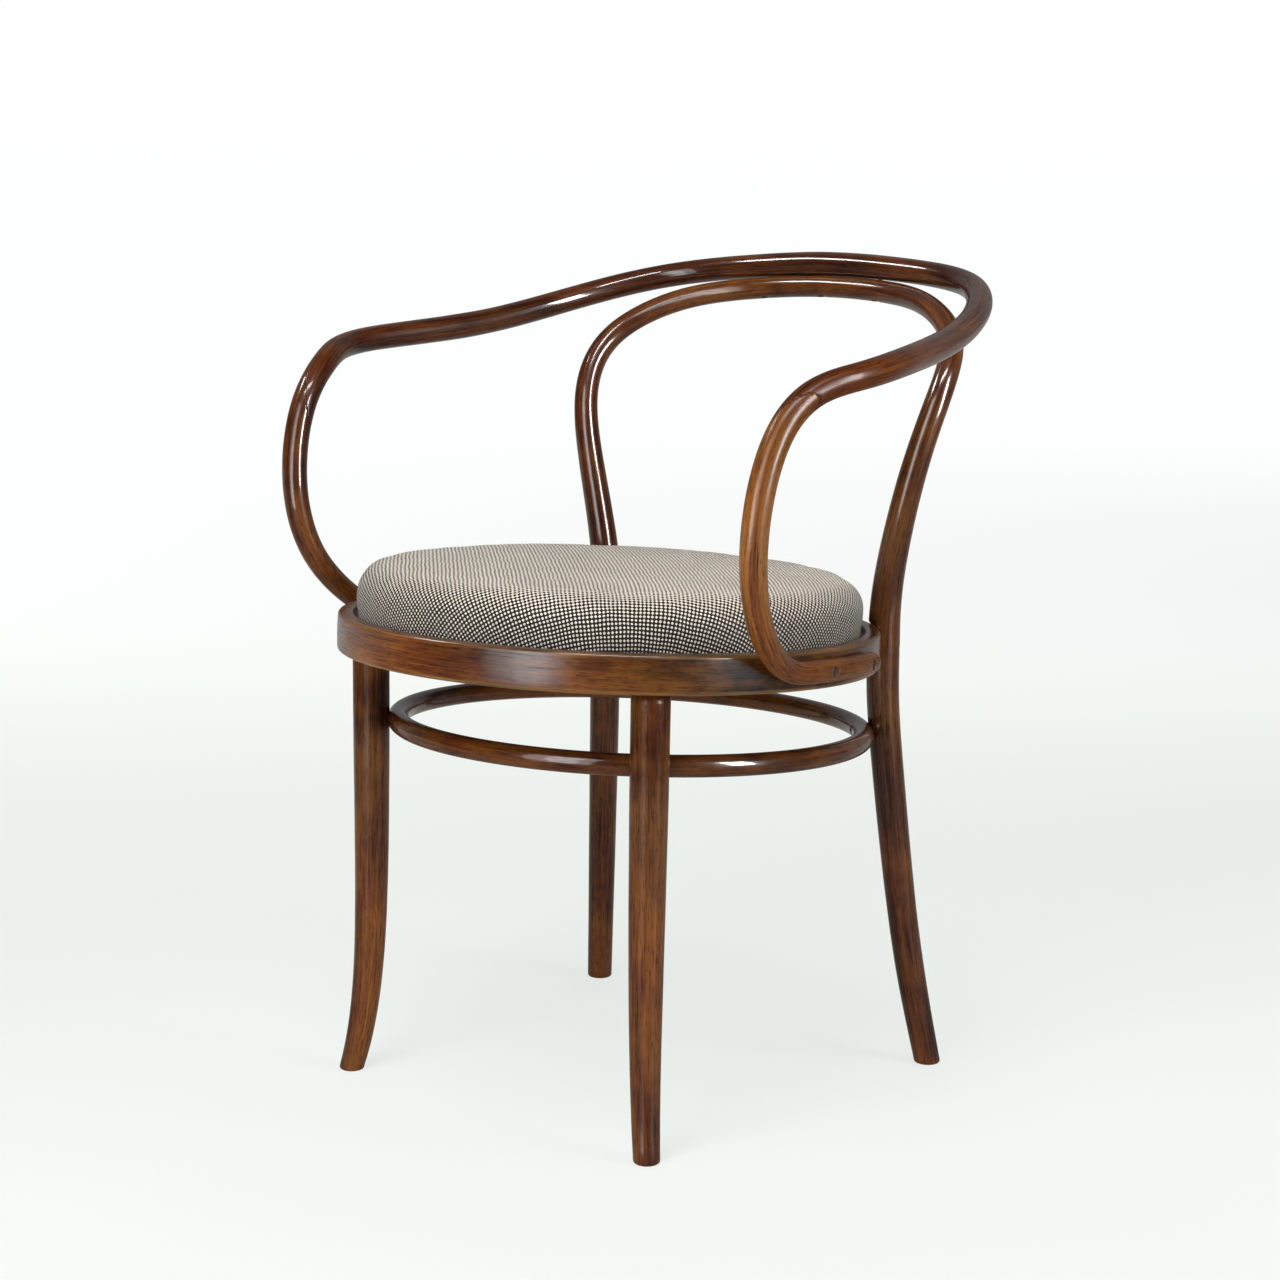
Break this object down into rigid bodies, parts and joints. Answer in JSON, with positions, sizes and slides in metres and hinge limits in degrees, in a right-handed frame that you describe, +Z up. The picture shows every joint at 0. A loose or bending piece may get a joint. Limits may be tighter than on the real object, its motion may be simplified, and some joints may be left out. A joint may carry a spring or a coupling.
{
  "type": "bentwood armchair",
  "caption": "Bentwood armchair with a looped back, a rail that bends forward into both arms, a round upholstered drop-in seat and a round stretcher.",
  "frame": {"origin": "on the floor, below the middle of the overall box", "axes": "+Z up, the sitter faces -Y, the sitter's left is +X"},
  "size_m": [0.599, 0.55, 0.7229],
  "materials": {
    "bow_wood": "gloss lacquer over dark walnut stain",
    "rail_wood": "gloss lacquer over dark walnut stain",
    "arm_wood": "gloss lacquer over walnut stain",
    "ring_wood": "gloss lacquer over dark walnut stain",
    "leg_wood": "gloss lacquer over dark walnut stain",
    "stretcher_wood": "gloss lacquer over dark walnut stain",
    "board_ply": "bare plywood",
    "foam": "polyurethane foam",
    "cover_cloth": "dotted two-tone weave",
    "dust_cloth": "black non-woven cloth",
    "tack_steel": "blued",
    "screw_steel": "zinc plated",
    "dark_screw": "darkened",
    "bolt_steel": "zinc plated"
  },
  "bodies": {
    "root": {"back_bow": "bow_wood", "top_rail": "rail_wood", "arm_left": "arm_wood", "arm_right": "arm_wood", "seat_ring": "ring_wood", "front_leg_left": "leg_wood", "front_leg_right": "leg_wood", "stretcher_ring": "stretcher_wood", "seat_board": "board_ply", "seat_foam": "foam", "seat_cover": "cover_cloth", "dust_cover": "dust_cloth", "cover_tacks": "tack_steel", "seat_screws": "screw_steel", "arm_screws": "dark_screw", "stretcher_screws": "dark_screw", "rail_screws": "dark_screw", "rear_leg_bolts": "bolt_steel", "rear_leg_washers": "bolt_steel", "rear_leg_nuts": "bolt_steel"}
  },
  "joints": []
}
